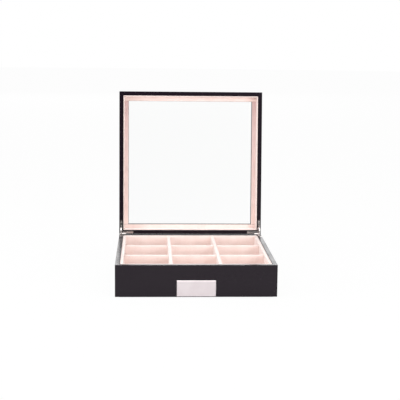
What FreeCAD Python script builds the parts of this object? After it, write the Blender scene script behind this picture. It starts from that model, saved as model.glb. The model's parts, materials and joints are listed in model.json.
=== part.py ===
import FreeCAD, Part
import math
import os

import Sketcher
from FreeCAD import Placement, Rotation, Vector

# A tie box: a shallow square base with nine lined compartments and a glazed lid on two quadrant hinges.
# The origin is the middle of the underside, X runs to the right, Y to the back and Z up.
# Every piece is drawn with the lid shut, and the lid's pieces are then turned open about the hinge pins.

os.makedirs("parts", exist_ok=True)
doc = FreeCAD.newDocument("tie_box")
sheet = doc.addObject("Spreadsheet::Sheet", "Sizes")

# The driving dimensions, in millimetres, degrees or as counts
DRIVING_SIZES = {
    # Carcass of the base
    "box_width": 290,
    "box_depth": 290,
    "wall": 8,
    "base_wall_height": 58,
    "corner_bevel": 0.6,
    "edge_bevel": 0.3,
    "bottom_thickness": 5,
    "bottom_rebate": 4,
    "felt_thickness": 1,
    "felt_margin": 3,
    "felt_corner_radius": 6,
    # Suede-wrapped inside of the base
    "fit_gap": 0.2,
    "floor_lining_thickness": 3,
    "lining_thickness": 6.5,
    "lining_drop": 0.6,
    "lining_round": 1.4,
    "columns": 3,
    "rows": 3,
    "divider_thickness": 7.4,
    "divider_drop": 3,
    "divider_round": 1.8,
    "slot_gap": 0.1,
    # Bare plate on the front
    "plate_width": 70,
    "plate_height": 29,
    "plate_thickness": 1.2,
    "plate_bevel": 0.7,
    "plate_rise": 1,
    # Lid
    "parting_gap": 0.4,
    "lid_wall_height": 31,
    "lid_frame_width": 18.5,
    "lid_frame_thickness": 7,
    "lid_opening_bevel": 0.8,
    "glass_thickness": 3,
    "glass_gap": 0.3,
    "retainer_thickness": 3,
    "retainer_round": 0.8,
    "lid_lining_thickness": 2,
    "lid_lining_drop": 1,
    "lid_lining_round": 0.8,
    # Leaves and knuckles of the quadrant hinges
    "leaf_thickness": 2,
    "leaf_width": 5,
    "leaf_inset": 1.5,
    "leaf_end_bevel": 0.8,
    "barrel_diameter": 5,
    "knuckle_length": 4,
    "knuckle_gap": 0.15,
    "barrel_clearance": 0.3,
    "pin_diameter": 2,
    "pin_clearance": 0.03,
    # Support arms
    "opening_angle": 95,
    "arm_width": 3,
    "arm_thickness": 1.6,
    "arm_head": 4.2,
    "arm_clearance": 0.2,
    "arm_slot_clearance": 0.3,
    "arm_stop_gap": 0.1,
    "arm_web": 0.45,
    # Countersunk hinge screws
    "screw_head": 3.8,
    "screw_shank": 1.8,
    "screw_length": 8,
    "screw_clearance": 0.05,
    "screw_web": 3.8,
    "leaf_end_web": 2,
}
COUNTERSINK_ANGLE = 90

for row, (alias, value) in enumerate(DRIVING_SIZES.items(), start=1):
    sheet.set("A%d" % row, alias)
    sheet.set("B%d" % row, "%g" % value)
    sheet.setAlias("B%d" % row, alias)
doc.recompute()


class Size:
    """A number together with the spreadsheet formula that gives it, so that a feature can be bound to it."""

    def __init__(self, value, formula):
        self.value = value
        self.formula = formula

    @staticmethod
    def of(number):
        """Return the number as a Size."""
        return number if isinstance(number, Size) else Size(float(number), "(%.9g)" % number)

    def combined(self, other, symbol, value):
        """Return the Size that joins this formula and another by an arithmetic sign."""
        return Size(value, "(%s %s %s)" % (self.formula, symbol, other.formula))

    def __add__(self, other):
        other = Size.of(other)
        return self.combined(other, "+", self.value + other.value)

    def __sub__(self, other):
        other = Size.of(other)
        return self.combined(other, "-", self.value - other.value)

    def __mul__(self, other):
        other = Size.of(other)
        return self.combined(other, "*", self.value * other.value)

    def __truediv__(self, other):
        other = Size.of(other)
        return self.combined(other, "/", self.value / other.value)

    def __radd__(self, other):
        return Size.of(other) + self

    def __rsub__(self, other):
        return Size.of(other) - self

    def __rmul__(self, other):
        return Size.of(other) * self

    def __neg__(self):
        return Size.of(0) - self


def size(alias):
    """Return a driving dimension as a Size."""
    return Size(float(sheet.get(alias)), "Sizes." + alias)


def arc_sine(ratio):
    """Return the angle in degrees whose sine is the given ratio."""
    return Size(math.degrees(math.asin(ratio.value)), "(asin(%s) / 1 deg)" % ratio.formula)


def sine(angle):
    """Return the sine of an angle in degrees."""
    return Size(math.sin(math.radians(angle.value)), "sin(%s)" % angle.formula)


def cosine(angle):
    """Return the cosine of an angle in degrees."""
    return Size(math.cos(math.radians(angle.value)), "cos(%s)" % angle.formula)


def square_root(number):
    """Return the square root of a number."""
    return Size(math.sqrt(number.value), "sqrt(%s)" % number.formula)


NONE = Size.of(0)
HALF_WIDTH = size("box_width") / 2
HALF_DEPTH = size("box_depth") / 2
WALL = size("wall")
LEFT = -1
RIGHT = 1
SIDES = {"left": LEFT, "right": RIGHT}

# Heights of the base, from the underside of the felt upwards
FELT_TOP = size("felt_thickness")
BASE_RIM = FELT_TOP + size("base_wall_height")
FLOOR = FELT_TOP + size("bottom_thickness")
FLOOR_LINING_TOP = FLOOR + size("floor_lining_thickness")
LINING_TOP = BASE_RIM - size("lining_drop")
DIVIDER_TOP = BASE_RIM - size("divider_drop")

# Heights of the shut lid, and the axis of the hinge pins along the rear face
LID_RIM = BASE_RIM + size("parting_gap")
LID_FRAME_BOTTOM = LID_RIM + size("lid_wall_height")
GLASS_BOTTOM = LID_FRAME_BOTTOM - size("glass_thickness")
RETAINER_BOTTOM = GLASS_BOTTOM - size("retainer_thickness")
AXIS_HEIGHT = BASE_RIM + size("parting_gap") / 2
BARREL_RADIUS = size("barrel_diameter") / 2
BARREL_SPACE = BARREL_RADIUS + size("barrel_clearance")
ARM_HALF_WIDTH = size("arm_width") / 2
ARM_HEAD_RADIUS = size("arm_head") / 2
HINGE_AXIS = Vector(0, HALF_DEPTH.value, AXIS_HEIGHT.value)
OPEN_LID = Placement(Vector(), Rotation(Vector(1, 0, 0), -size("opening_angle").value), HINGE_AXIS)

pieces = {}


# Drawing and feature helpers


def origin_plane(body, role):
    """Return one of the body's own origin planes."""
    for feature in body.Origin.OriginFeatures:
        if feature.Role == role:
            return feature
    raise ValueError("no plane " + role)


def new_body(label):
    """Start an empty body."""
    body = doc.addObject("PartDesign::Body", label)
    body.Label = label
    return body


def new_sketch(body, name, plane, level):
    """Start a sketch parallel to an origin plane, at a level above it."""
    sketch = body.newObject("Sketcher::SketchObject", body.Name + "_" + name)
    sketch.AttachmentSupport = [(origin_plane(body, plane), "")]
    sketch.MapMode = "FlatFace"
    sketch.setExpression("AttachmentOffset.Base.z", Size.of(level).formula)
    return sketch


def fix(sketch, kind, geometry, size_value):
    """Bind a constraint of one size to its formula."""
    index = sketch.addConstraint(Sketcher.Constraint(kind, *geometry, size_value.value))
    sketch.setExpression("Constraints[%d]" % index, size_value.formula)


def fix_point(sketch, element, end, point):
    """Bind a point of the sketch to its two coordinates."""
    fix(sketch, "DistanceX", (-1, 1, element, end), Size.of(point[0]))
    fix(sketch, "DistanceY", (-1, 1, element, end), Size.of(point[1]))


def flat(point):
    """Return a drawn point as a plain vector."""
    return Vector(Size.of(point[0]).value, Size.of(point[1]).value, 0)


def draw_outline(body, name, plane, level, points):
    """Draw a closed outline of straight lines."""
    sketch = new_sketch(body, name, plane, level)
    lines = []
    for number, start in enumerate(points):
        end = points[(number + 1) % len(points)]
        lines.append(sketch.addGeometry(Part.LineSegment(flat(start), flat(end))))
    for number, line in enumerate(lines):
        following = lines[(number + 1) % len(lines)]
        sketch.addConstraint(Sketcher.Constraint("Coincident", line, 2, following, 1))
        fix_point(sketch, line, 1, points[number])
    return sketch


def draw_rectangle(body, name, plane, level, low, high):
    """Draw a rectangle from its low corner to its high corner."""
    corners = [low, (high[0], low[1]), high, (low[0], high[1])]
    return draw_outline(body, name, plane, level, corners)


def draw_circles(body, name, plane, level, centres, diameter):
    """Draw equal circles about the given centres."""
    sketch = new_sketch(body, name, plane, level)
    for centre in centres:
        circle = Part.Circle(flat(centre), Vector(0, 0, 1), diameter.value / 2)
        element = sketch.addGeometry(circle)
        fix(sketch, "Diameter", (element,), diameter)
        fix_point(sketch, element, 3, centre)
    return sketch


def extrude(kind, body, sketch, length, backwards):
    """Add a pad or a pocket of the sketch."""
    feature = body.newObject("PartDesign::" + kind, sketch.Name + "_" + kind.lower())
    feature.Profile = sketch
    feature.setExpression("Length", Size.of(length).formula)
    feature.Reversed = backwards
    return feature


def pad(body, sketch, length):
    """Add material from the sketch along its plane's normal."""
    return extrude("Pad", body, sketch, length, False)


def pocket(body, sketch, length):
    """Remove material from the sketch along its plane's normal."""
    return extrude("Pocket", body, sketch, length, True)


def edges_where(shape, test):
    """Return the names of the edges whose bounding box passes the test."""
    return ["Edge%d" % number for number, edge in enumerate(shape.Edges, start=1) if test(edge.BoundBox)]


def ease_edges(body, name, radius, test, kind="Fillet"):
    """Round or bevel the edges of the body's last feature that pass the test."""
    doc.recompute()
    last = body.Tip
    edges = edges_where(last.Shape, test)
    if not edges:
        raise ValueError("no edge to round on " + body.Label)
    feature = body.newObject("PartDesign::" + kind, body.Name + "_" + name)
    feature.Base = (last, edges)
    feature.setExpression("Radius" if kind == "Fillet" else "Size", radius.formula)
    return feature


def same(first, second):
    """Tell whether two lengths are equal to a thousandth."""
    return abs(first - second) < 0.001


def is_upright(box):
    """Tell whether an edge stands straight up."""
    return same(box.XLength, 0) and same(box.YLength, 0)


def runs_at_height(box, height):
    """Tell whether an edge is level and lies at the given height."""
    return same(box.ZMin, height) and same(box.ZMax, height)


def keep(label, piece, placement=None):
    """Record a finished piece, moved to its place."""
    piece.Label = label
    if placement is not None:
        piece.Placement = placement
    pieces[label] = piece
    return piece


def block(label, low, high, placement=None):
    """Make a rectangular piece from its low corner to its high corner."""
    body = new_body(label)
    pad(body, draw_rectangle(body, "plan", "XY_Plane", low[2], low[:2], high[:2]), high[2] - low[2])
    return keep(label, body, placement)


# Boards of the two frames, drawn with the outer face along X and the thickness towards +Y


def facing(name, base_height=NONE):
    """Return where the board of a named side stands, with its thickness pointing inwards."""
    turn = {"front": 0, "right": 90, "rear": 180, "left": 270}[name]
    spot = {
        "front": (0, -HALF_DEPTH.value),
        "right": (HALF_WIDTH.value, 0),
        "rear": (0, HALF_DEPTH.value),
        "left": (-HALF_WIDTH.value, 0),
    }[name]
    return Placement(Vector(*spot, base_height.value), Rotation(Vector(0, 0, 1), turn))


def run_of(name):
    """Return the outside length of the board on a named side."""
    return size("box_width") if name in ("front", "rear") else size("box_depth")


def mitred_board(label, length, thickness, height):
    """Make a board mitred at both ends, with half of a flat bevel at each outer corner."""
    body = new_body(label)
    half = length / 2
    bevel = size("corner_bevel")
    corners = [
        (-half + bevel, NONE),
        (half - bevel, NONE),
        (half - bevel / 2, bevel / 2),
        (half - thickness, thickness),
        (-half + thickness, thickness),
        (-half + bevel / 2, bevel / 2),
    ]
    pad(body, draw_outline(body, "plan", "XY_Plane", NONE, corners), height)
    return body


def bevel_outer_edges(body, name, height):
    """Bevel the level edges along the outer face at one height."""
    depth = size("corner_bevel").value
    ease_edges(
        body,
        name,
        size("edge_bevel"),
        lambda box: runs_at_height(box, height.value) and box.YMax < depth,
        "Chamfer",
    )


def base_wall(name):
    """Make one wall of the base, rebated along its inner foot for the bottom panel."""
    length = run_of(name)
    body = mitred_board("base_%s_wall_board" % name, length, WALL, size("base_wall_height"))
    bevel_outer_edges(body, "rim_edge", size("base_wall_height"))
    bevel_outer_edges(body, "foot_edge", NONE)
    inner = WALL - size("bottom_rebate")
    low = (-length / 2, inner)
    high = (length / 2, WALL)
    rebate = draw_rectangle(body, "rebate", "XY_Plane", NONE, low, high)
    pocket(body, rebate, size("bottom_thickness"))
    body.Placement = facing(name, FELT_TOP)
    return body


def lid_wall(name):
    """Make one wall of the lid."""
    body = mitred_board("lid_%s_wall_board" % name, run_of(name), WALL, size("lid_wall_height"))
    bevel_outer_edges(body, "rim_edge", NONE)
    body.Placement = facing(name, LID_RIM)
    return body


def lid_rail(name):
    """Make one rail of the frame on top of the lid, bevelled round the outside and round the opening."""
    label = "lid_frame_%s_rail" % name
    width = size("lid_frame_width")
    thickness = size("lid_frame_thickness")
    body = mitred_board(label, run_of(name), width, thickness)
    bevel_outer_edges(body, "outer_edge", thickness)
    top = thickness.value
    ease_edges(
        body,
        "opening_edge",
        size("lid_opening_bevel"),
        lambda box: runs_at_height(box, top) and same(box.YMin, width.value) and same(box.YMax, width.value),
        "Chamfer",
    )
    keep(label, body, OPEN_LID * facing(name, LID_FRAME_BOTTOM))


# Quadrant hinges, placed by distances inwards from the side face and forwards from the rear face


LEAF_CENTRE = size("leaf_inset") + size("leaf_width") / 2
KNUCKLE = size("knuckle_length")
KNUCKLE_GAP = size("knuckle_gap")
BARREL_START = size("leaf_inset")
BARREL_END = BARREL_START + 3 * KNUCKLE

# The arm turns half as far as the lid, and its head stops under a leaf at either end of its travel
HEAD_SPACE = ARM_HEAD_RADIUS + size("arm_slot_clearance")
ARM_HALF_SPACE = size("arm_thickness") / 2 + size("arm_clearance")
STOP_DEPTH = size("parting_gap") / 2 + size("leaf_thickness") + ARM_HEAD_RADIUS + size("arm_stop_gap")
HALF_OPENING = size("opening_angle") / 2

# The arm's radius keeps the head, when it is sunk furthest, clear of the mitre between side and rear wall
SUNK_HEAD = LEAF_CENTRE + ARM_HALF_SPACE + HEAD_SPACE + size("arm_web")
LEVEL_REACH = (SUNK_HEAD + STOP_DEPTH * sine(HALF_OPENING)) / cosine(HALF_OPENING)
ARM_RADIUS = square_root(STOP_DEPTH * STOP_DEPTH + LEVEL_REACH * LEVEL_REACH)
STOP_ANGLE = arc_sine(STOP_DEPTH / ARM_RADIUS)
ARM_SPAN = size("opening_angle") + 2 * STOP_ANGLE
SUNK_ANGLE = ARM_SPAN / 2

# The side leg has a screw on either side of the arm's slot; both legs are equally long
SLOT_REACH = ARM_HALF_WIDTH + size("arm_slot_clearance")
SCREW_SEAT = size("screw_head") / 2 + size("screw_clearance")
NEAR_SCREW = ARM_RADIUS - SLOT_REACH - size("screw_web") - SCREW_SEAT
FAR_SCREW = ARM_RADIUS + SLOT_REACH + size("screw_web") + SCREW_SEAT
LEAF_END = FAR_SCREW + SCREW_SEAT + size("leaf_end_web")
SCREW_SPOTS = [(LEAF_CENTRE, NEAR_SCREW), (LEAF_CENTRE, FAR_SCREW)]

# Stretches of each leaf's rear edge, by near end, far end and depth: a knuckle reaches the axis
BASE_EDGE = [
    (BARREL_START, BARREL_START + KNUCKLE - KNUCKLE_GAP, NONE),
    (BARREL_START + KNUCKLE - KNUCKLE_GAP, BARREL_START + 2 * KNUCKLE + KNUCKLE_GAP, BARREL_SPACE),
    (BARREL_START + 2 * KNUCKLE + KNUCKLE_GAP, BARREL_END, NONE),
]
LID_EDGE = [
    (BARREL_START, BARREL_START + KNUCKLE + KNUCKLE_GAP, BARREL_SPACE),
    (BARREL_START + KNUCKLE + KNUCKLE_GAP, BARREL_START + 2 * KNUCKLE - KNUCKLE_GAP, NONE),
    (BARREL_START + 2 * KNUCKLE - KNUCKLE_GAP, BARREL_END + KNUCKLE_GAP, BARREL_SPACE),
]


def at_hinge(side, inwards, forwards):
    """Return the plan point at a distance inwards from the side face and forwards from the rear face."""
    return (side * (HALF_WIDTH - inwards), HALF_DEPTH - forwards)


def arm_section(side, half_width, half_thickness):
    """Return the corners of a rectangle about the arm's middle line where it crosses the leaves."""
    return [
        at_hinge(side, LEAF_CENTRE - half_thickness, ARM_RADIUS - half_width),
        at_hinge(side, LEAF_CENTRE + half_thickness, ARM_RADIUS - half_width),
        at_hinge(side, LEAF_CENTRE + half_thickness, ARM_RADIUS + half_width),
        at_hinge(side, LEAF_CENTRE - half_thickness, ARM_RADIUS + half_width),
    ]


def low_end(side, near, far):
    """Return the lower X of a stretch between two distances inwards from the side face."""
    return -HALF_WIDTH + near if side == LEFT else HALF_WIDTH - far


def leaf_outline(side, rear_edge):
    """Return the plan of a leaf: two legs at a right angle, with the stretches at the barrel."""
    inset = size("leaf_inset")
    inner = inset + size("leaf_width")
    plan = []
    for near, far, depth in rear_edge:
        plan += [(near, depth), (far, depth)]
    barrel_end = rear_edge[-1][1]
    plan += [(barrel_end, inset), (LEAF_END, inset), (LEAF_END, inner), (inner, inner)]
    plan += [(inner, LEAF_END), (inset, LEAF_END)]
    return [at_hinge(side, *point) for point in plan]


def add_round_bars(body, name, side, stretches, diameter, make):
    """Add or cut a bar about the hinge axis along each stretch inwards from the side face."""
    for number, (near, far) in enumerate(stretches, start=1):
        start = low_end(side, near, far)
        label = "%s_%d" % (name, number)
        circle = draw_circles(body, label, "YZ_Plane", start, [(HALF_DEPTH, AXIS_HEIGHT)], diameter)
        make(body, circle, far - near)


def hinge_leaf(label, side, level, rear_edge, heads_up, placement=None):
    """Make one leaf: an L-shaped plate with its knuckles, arm slot and countersunk holes."""
    body = new_body(label)
    thickness = size("leaf_thickness")
    plate = draw_outline(body, "plan", "XY_Plane", level, leaf_outline(side, rear_edge))
    pad(body, plate, thickness)
    tip_reach = LEAF_END.value
    side_face = HALF_WIDTH.value
    rear_face = HALF_DEPTH.value

    def at_leg_end(box):
        at_rear_tip = same(side_face - abs(box.XMin), tip_reach)
        at_side_tip = same(rear_face - box.YMin, tip_reach)
        return is_upright(box) and (at_rear_tip or at_side_tip)

    ease_edges(body, "leg_ends", size("leaf_end_bevel"), at_leg_end, "Chamfer")
    knuckles = [(near, far) for near, far, depth in rear_edge if depth is NONE]
    add_round_bars(body, "knuckle", side, knuckles, 2 * BARREL_RADIUS, pad)
    pin_hole = size("pin_diameter") + 2 * size("pin_clearance")
    add_round_bars(body, "pin_hole", side, [(BARREL_START, BARREL_END)], pin_hole, pocket)
    slot = arm_section(side, SLOT_REACH, ARM_HALF_SPACE)
    pocket(body, draw_outline(body, "arm_slot", "XY_Plane", level, slot), thickness)
    spots = [at_hinge(side, *spot) for spot in SCREW_SPOTS]
    seat = level + thickness if heads_up else level
    doc.recompute()
    holes = body.newObject("PartDesign::Hole", label + "_screw_holes")
    holes.Profile = draw_circles(body, "screws", "XY_Plane", seat, spots, size("screw_shank"))
    holes.Threaded = False
    holes.setExpression("Diameter", (size("screw_shank") + 2 * size("screw_clearance")).formula)
    holes.DepthType = "ThroughAll"
    holes.HoleCutType = "Countersink"
    holes.setExpression("HoleCutDiameter", (size("screw_head") + 2 * size("screw_clearance")).formula)
    holes.HoleCutCountersinkAngle = COUNTERSINK_ANGLE
    holes.Reversed = not heads_up
    body.Tip = holes
    return keep(label, body, placement)


def screw(label, spot, seat, heads_up):
    """Make one countersunk screw with its head flush with the leaf."""
    radius = size("screw_head") / 2
    shank_radius = size("screw_shank") / 2
    head_height = radius - shank_radius
    turn = Rotation(Vector(1, 0, 0), 180 if heads_up else 0)
    head = doc.addObject("Part::Cone", label + "_head")
    head.setExpression("Radius1", radius.formula)
    head.setExpression("Radius2", shank_radius.formula)
    head.setExpression("Height", head_height.formula)
    shank = doc.addObject("Part::Cylinder", label + "_shank")
    shank.setExpression("Radius", shank_radius.formula)
    shank.setExpression("Height", size("screw_length").formula)
    whole = doc.addObject("Part::Fuse", label)
    whole.Base = head
    whole.Tool = shank
    whole.Refine = True
    whole.Placement = Placement(Vector(spot[0].value, spot[1].value, seat.value), turn)
    return whole


def hinge_screws(label, side, seat, heads_up, placement=None):
    """Make the two screws of one leaf as one group."""
    spots = [at_hinge(side, *spot) for spot in SCREW_SPOTS]
    screws = [
        screw("%s_%d" % (label, number), spot, seat, heads_up) for number, spot in enumerate(spots, start=1)
    ]
    group = doc.addObject("Part::Compound", label)
    group.Links = screws
    return keep(label, group, placement)


def hinge_pin(label, side):
    """Make the pin through the knuckles of one hinge."""
    body = new_body(label)
    add_round_bars(body, "pin", side, [(BARREL_START, BARREL_END)], size("pin_diameter"), pad)
    return keep(label, body)


def arm_ring(body, side, half_width, half_thickness, angle, upwards):
    """Turn a rectangle about the hinge axis, from level in front of it through an angle."""
    section = arm_section(side, half_width, half_thickness)
    sketch = draw_outline(body, "section", "XY_Plane", AXIS_HEIGHT, section)
    near = (-HALF_WIDTH, HALF_DEPTH)
    far = (HALF_WIDTH, HALF_DEPTH)
    axis = sketch.addGeometry(Part.LineSegment(flat(near), flat(far)), True)
    fix_point(sketch, axis, 1, near)
    fix_point(sketch, axis, 2, far)
    ring = body.newObject("PartDesign::Revolution", body.Name + "_ring")
    ring.Profile = sketch
    ring.ReferenceAxis = (sketch, ["Axis0"])
    ring.setExpression("Angle", Size.of(angle).formula)
    ring.Reversed = upwards
    return sketch


def support_arm(label, side):
    """Make the curved arm of one hinge, with a round end at each end that can't pass the leaves."""
    body = new_body(label)
    half_thickness = size("arm_thickness") / 2
    section = arm_ring(body, side, ARM_HALF_WIDTH, half_thickness, ARM_SPAN, True)
    start = low_end(side, LEAF_CENTRE - half_thickness, LEAF_CENTRE + half_thickness)
    centre = (HALF_DEPTH - ARM_RADIUS, AXIS_HEIGHT)
    circle = draw_circles(body, "end", "YZ_Plane", start, [centre], size("arm_head"))
    end = pad(body, circle, size("arm_thickness"))
    doc.recompute()
    ends = body.newObject("PartDesign::PolarPattern", label + "_ends")
    ends.Originals = [end]
    ends.Axis = (section, ["Axis0"])
    ends.setExpression("Angle", ARM_SPAN.formula)
    ends.Occurrences = 2
    ends.Reversed = True
    body.Tip = ends
    down = Placement(Vector(), Rotation(Vector(1, 0, 0), STOP_ANGLE.value), HINGE_AXIS)
    return keep(label, body, down)


def pilot_hole(label, spot, seat, heads_up):
    """Make the hole that one screw's shank takes in the wood."""
    hole = doc.addObject("Part::Cylinder", label)
    hole.setExpression("Radius", (size("screw_shank") / 2 + size("screw_clearance")).formula)
    hole.setExpression("Height", (size("screw_length") + size("fit_gap")).formula)
    turn = Rotation(Vector(1, 0, 0), 180 if heads_up else 0)
    hole.Placement = Placement(Vector(spot[0].value, spot[1].value, seat.value), turn)
    return hole


def hinge_mortise(label, side, level, seat, heads_up):
    """Make the space that one leaf, the barrel, the arm and the screws take in the wood."""
    recess = new_body(label + "_recess")
    outline = leaf_outline(side, [(BARREL_START, BARREL_END, NONE)])
    pad(recess, draw_outline(recess, "plan", "XY_Plane", level, outline), size("leaf_thickness"))
    barrel = new_body(label + "_barrel")
    barrel_space = [(BARREL_START - KNUCKLE_GAP, BARREL_END + KNUCKLE_GAP)]
    add_round_bars(barrel, "space", side, barrel_space, 2 * BARREL_SPACE, pad)
    channel = new_body(label + "_channel")
    arm_ring(channel, side, HEAD_SPACE, ARM_HALF_SPACE, SUNK_ANGLE, not heads_up)
    drop = ARM_RADIUS * sine(SUNK_ANGLE)
    sunk_height = AXIS_HEIGHT - drop if heads_up else AXIS_HEIGHT + drop
    sunk = (HALF_DEPTH - ARM_RADIUS * cosine(SUNK_ANGLE), sunk_height)
    start = low_end(side, LEAF_CENTRE - ARM_HALF_SPACE, LEAF_CENTRE + ARM_HALF_SPACE)
    circle = draw_circles(channel, "end", "YZ_Plane", start, [sunk], 2 * HEAD_SPACE)
    pad(channel, circle, 2 * ARM_HALF_SPACE)
    spots = [at_hinge(side, *spot) for spot in SCREW_SPOTS]
    pilots = [
        pilot_hole("%s_pilot_%d" % (label, number), spot, seat, heads_up)
        for number, spot in enumerate(spots, start=1)
    ]
    mortise = doc.addObject("Part::MultiFuse", label)
    mortise.Shapes = [recess, barrel, channel] + pilots
    return mortise


def let_in(label, board, mortises, placement=None):
    """Cut the hinge mortises into a board and keep it as a piece."""
    tool = mortises[0]
    if len(mortises) > 1:
        tool = doc.addObject("Part::MultiFuse", label + "_mortises")
        tool.Shapes = mortises
    piece = doc.addObject("Part::Cut", label)
    piece.Base = board
    piece.Tool = tool
    piece.Refine = True
    return keep(label, piece, placement)


# Base: walls, bottom, felt and plate


def make_hinges_and_walls():
    """Make both hinges and the walls of base and lid that they are let into."""
    leaf = size("leaf_thickness")
    base_mortises = {}
    lid_mortises = {}
    for name, side in SIDES.items():
        hinge_leaf(name + "_hinge_base_leaf", side, BASE_RIM - leaf, BASE_EDGE, True)
        hinge_leaf(name + "_hinge_lid_leaf", side, LID_RIM, LID_EDGE, False, OPEN_LID)
        hinge_pin(name + "_hinge_pin", side)
        hinge_screws(name + "_hinge_base_screws", side, BASE_RIM, True)
        hinge_screws(name + "_hinge_lid_screws", side, LID_RIM, False, OPEN_LID)
        support_arm(name + "_support_arm", side)
        base_mortises[name] = hinge_mortise(
            name + "_base_mortise", side, BASE_RIM - leaf, BASE_RIM, True
        )
        lid_mortises[name] = hinge_mortise(name + "_lid_mortise", side, LID_RIM, LID_RIM, False)
    keep("base_front_wall", base_wall("front"))
    front = lid_wall("front")
    keep("lid_front_wall", front, OPEN_LID * front.Placement)
    for name in SIDES:
        let_in("base_%s_wall" % name, base_wall(name), [base_mortises[name]])
        let_in("lid_%s_wall" % name, lid_wall(name), [lid_mortises[name]], OPEN_LID)
    let_in("base_rear_wall", base_wall("rear"), list(base_mortises.values()))
    let_in("lid_rear_wall", lid_wall("rear"), list(lid_mortises.values()), OPEN_LID)


def make_bottom():
    """Make the bottom panel in its rebate and the felt pad glued under it."""
    inset = WALL - size("bottom_rebate")
    block(
        "base_bottom_panel",
        (-HALF_WIDTH + inset, -HALF_DEPTH + inset, FELT_TOP),
        (HALF_WIDTH - inset, HALF_DEPTH - inset, FLOOR),
    )
    margin = size("felt_margin")
    felt = block(
        "base_felt_pad",
        (-HALF_WIDTH + margin, -HALF_DEPTH + margin, NONE),
        (HALF_WIDTH - margin, HALF_DEPTH - margin, FELT_TOP),
    )
    ease_edges(felt, "corners", size("felt_corner_radius"), is_upright)


def make_plate():
    """Make the bare plate on the front wall, bevelled all round."""
    body = new_body("front_plate")
    half = size("plate_width") / 2
    low = FELT_TOP + size("plate_rise")
    outline = draw_rectangle(
        body, "face", "XZ_Plane", HALF_DEPTH, (-half, low), (half, low + size("plate_height"))
    )
    pad(body, outline, size("plate_thickness"))
    front = -HALF_DEPTH.value - size("plate_thickness").value
    ease_edges(
        body,
        "bevel",
        size("plate_bevel"),
        lambda box: same(box.YMin, front) and same(box.YMax, front),
        "Chamfer",
    )
    keep("front_plate", body)


# Suede-wrapped boards of the base


INNER_X = HALF_WIDTH - WALL - size("fit_gap")
INNER_Y = HALF_DEPTH - WALL - size("fit_gap")
CLEAR_X = INNER_X - size("lining_thickness")
CLEAR_Y = INNER_Y - size("lining_thickness")


def wrapped_board(label, low, high, radius, along_x):
    """Make an upright board with its two long top edges rounded."""
    body = block(label, low, high)
    top = high[2].value

    def long_top_edge(box):
        length = box.XLength if along_x else box.YLength
        across = box.YLength if along_x else box.XLength
        return runs_at_height(box, top) and length > across

    ease_edges(body, "top_edges", radius, long_top_edge)
    return body


def make_linings():
    """Make the floor lining and the four upright linings, front and rear running past the sides."""
    block("floor_lining", (-INNER_X, -INNER_Y, FLOOR), (INNER_X, INNER_Y, FLOOR_LINING_TOP))
    plans = {
        "front": ((-INNER_X, -INNER_Y), (INNER_X, -CLEAR_Y)),
        "rear": ((-INNER_X, CLEAR_Y), (INNER_X, INNER_Y)),
        "left": ((-INNER_X, -CLEAR_Y), (-CLEAR_X, CLEAR_Y)),
        "right": ((CLEAR_X, -CLEAR_Y), (INNER_X, CLEAR_Y)),
    }
    for name, (low, high) in plans.items():
        wrapped_board(
            "base_%s_lining" % name,
            (*low, FLOOR_LINING_TOP),
            (*high, LINING_TOP),
            size("lining_round"),
            name in ("front", "rear"),
        )


def divider_centres(half_clear, count):
    """Return the middle of each divider that parts a clear width into equal compartments."""
    thickness = size("divider_thickness")
    pitch = (2 * half_clear + thickness) / count
    return [-half_clear - thickness / 2 + number * pitch for number in range(1, int(count.value))]


def make_dividers():
    """Make the dividers, halved over each other: columns slotted from below and rows from above."""
    half = size("divider_thickness") / 2
    radius = size("divider_round")
    half_slot = half + size("slot_gap")
    middle = (FLOOR_LINING_TOP + DIVIDER_TOP) / 2
    column_spots = divider_centres(CLEAR_X, size("columns"))
    row_spots = divider_centres(CLEAR_Y, size("rows"))
    for number, centre in enumerate(column_spots, start=1):
        label = "column_divider_%d" % number
        low = (centre - half, -CLEAR_Y, FLOOR_LINING_TOP)
        body = wrapped_board(label, low, (centre + half, CLEAR_Y, DIVIDER_TOP), radius, False)
        for slot, spot in enumerate(row_spots, start=1):
            low = (centre - half, spot - half_slot)
            high = (centre + half, spot + half_slot)
            name = "slot_%d" % slot
            pocket(
                body,
                draw_rectangle(body, name, "XY_Plane", FLOOR_LINING_TOP, low, high),
                middle - FLOOR_LINING_TOP + size("slot_gap"),
            )
    for number, centre in enumerate(row_spots, start=1):
        label = "row_divider_%d" % number
        low = (-CLEAR_X, centre - half, FLOOR_LINING_TOP)
        body = wrapped_board(label, low, (CLEAR_X, centre + half, DIVIDER_TOP), radius, True)
        for slot, spot in enumerate(column_spots, start=1):
            low = (spot - half_slot, centre - half)
            high = (spot + half_slot, centre + half)
            name = "slot_%d" % slot
            pocket(body, draw_rectangle(body, name, "XY_Plane", middle, low, high), DIVIDER_TOP - middle)


# Lid: frame rails, glass, linings and retainers


def lid_strips(kind, half_x, half_y, width, bottom, top, radius):
    """Make four strips round the inside of the lid, front and rear running past the sides."""
    corners = {
        "front": ((-half_x, -half_y), (half_x, -half_y + width)),
        "rear": ((-half_x, half_y - width), (half_x, half_y)),
        "left": ((-half_x, -half_y + width), (-half_x + width, half_y - width)),
        "right": ((half_x - width, -half_y + width), (half_x, half_y - width)),
    }
    for name, (low, high) in corners.items():
        body = block("lid_%s_%s" % (name, kind), (*low, bottom), (*high, top), OPEN_LID)
        inner = {"front": high[1], "rear": low[1], "left": high[0], "right": low[0]}[name].value
        along_x = name in ("front", "rear")
        height = bottom.value

        def inner_edge(box):
            across = (box.YMin, box.YMax) if along_x else (box.XMin, box.XMax)
            return runs_at_height(box, height) and same(across[0], inner) and same(across[1], inner)

        ease_edges(body, "inner_edge", radius, inner_edge)


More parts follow.
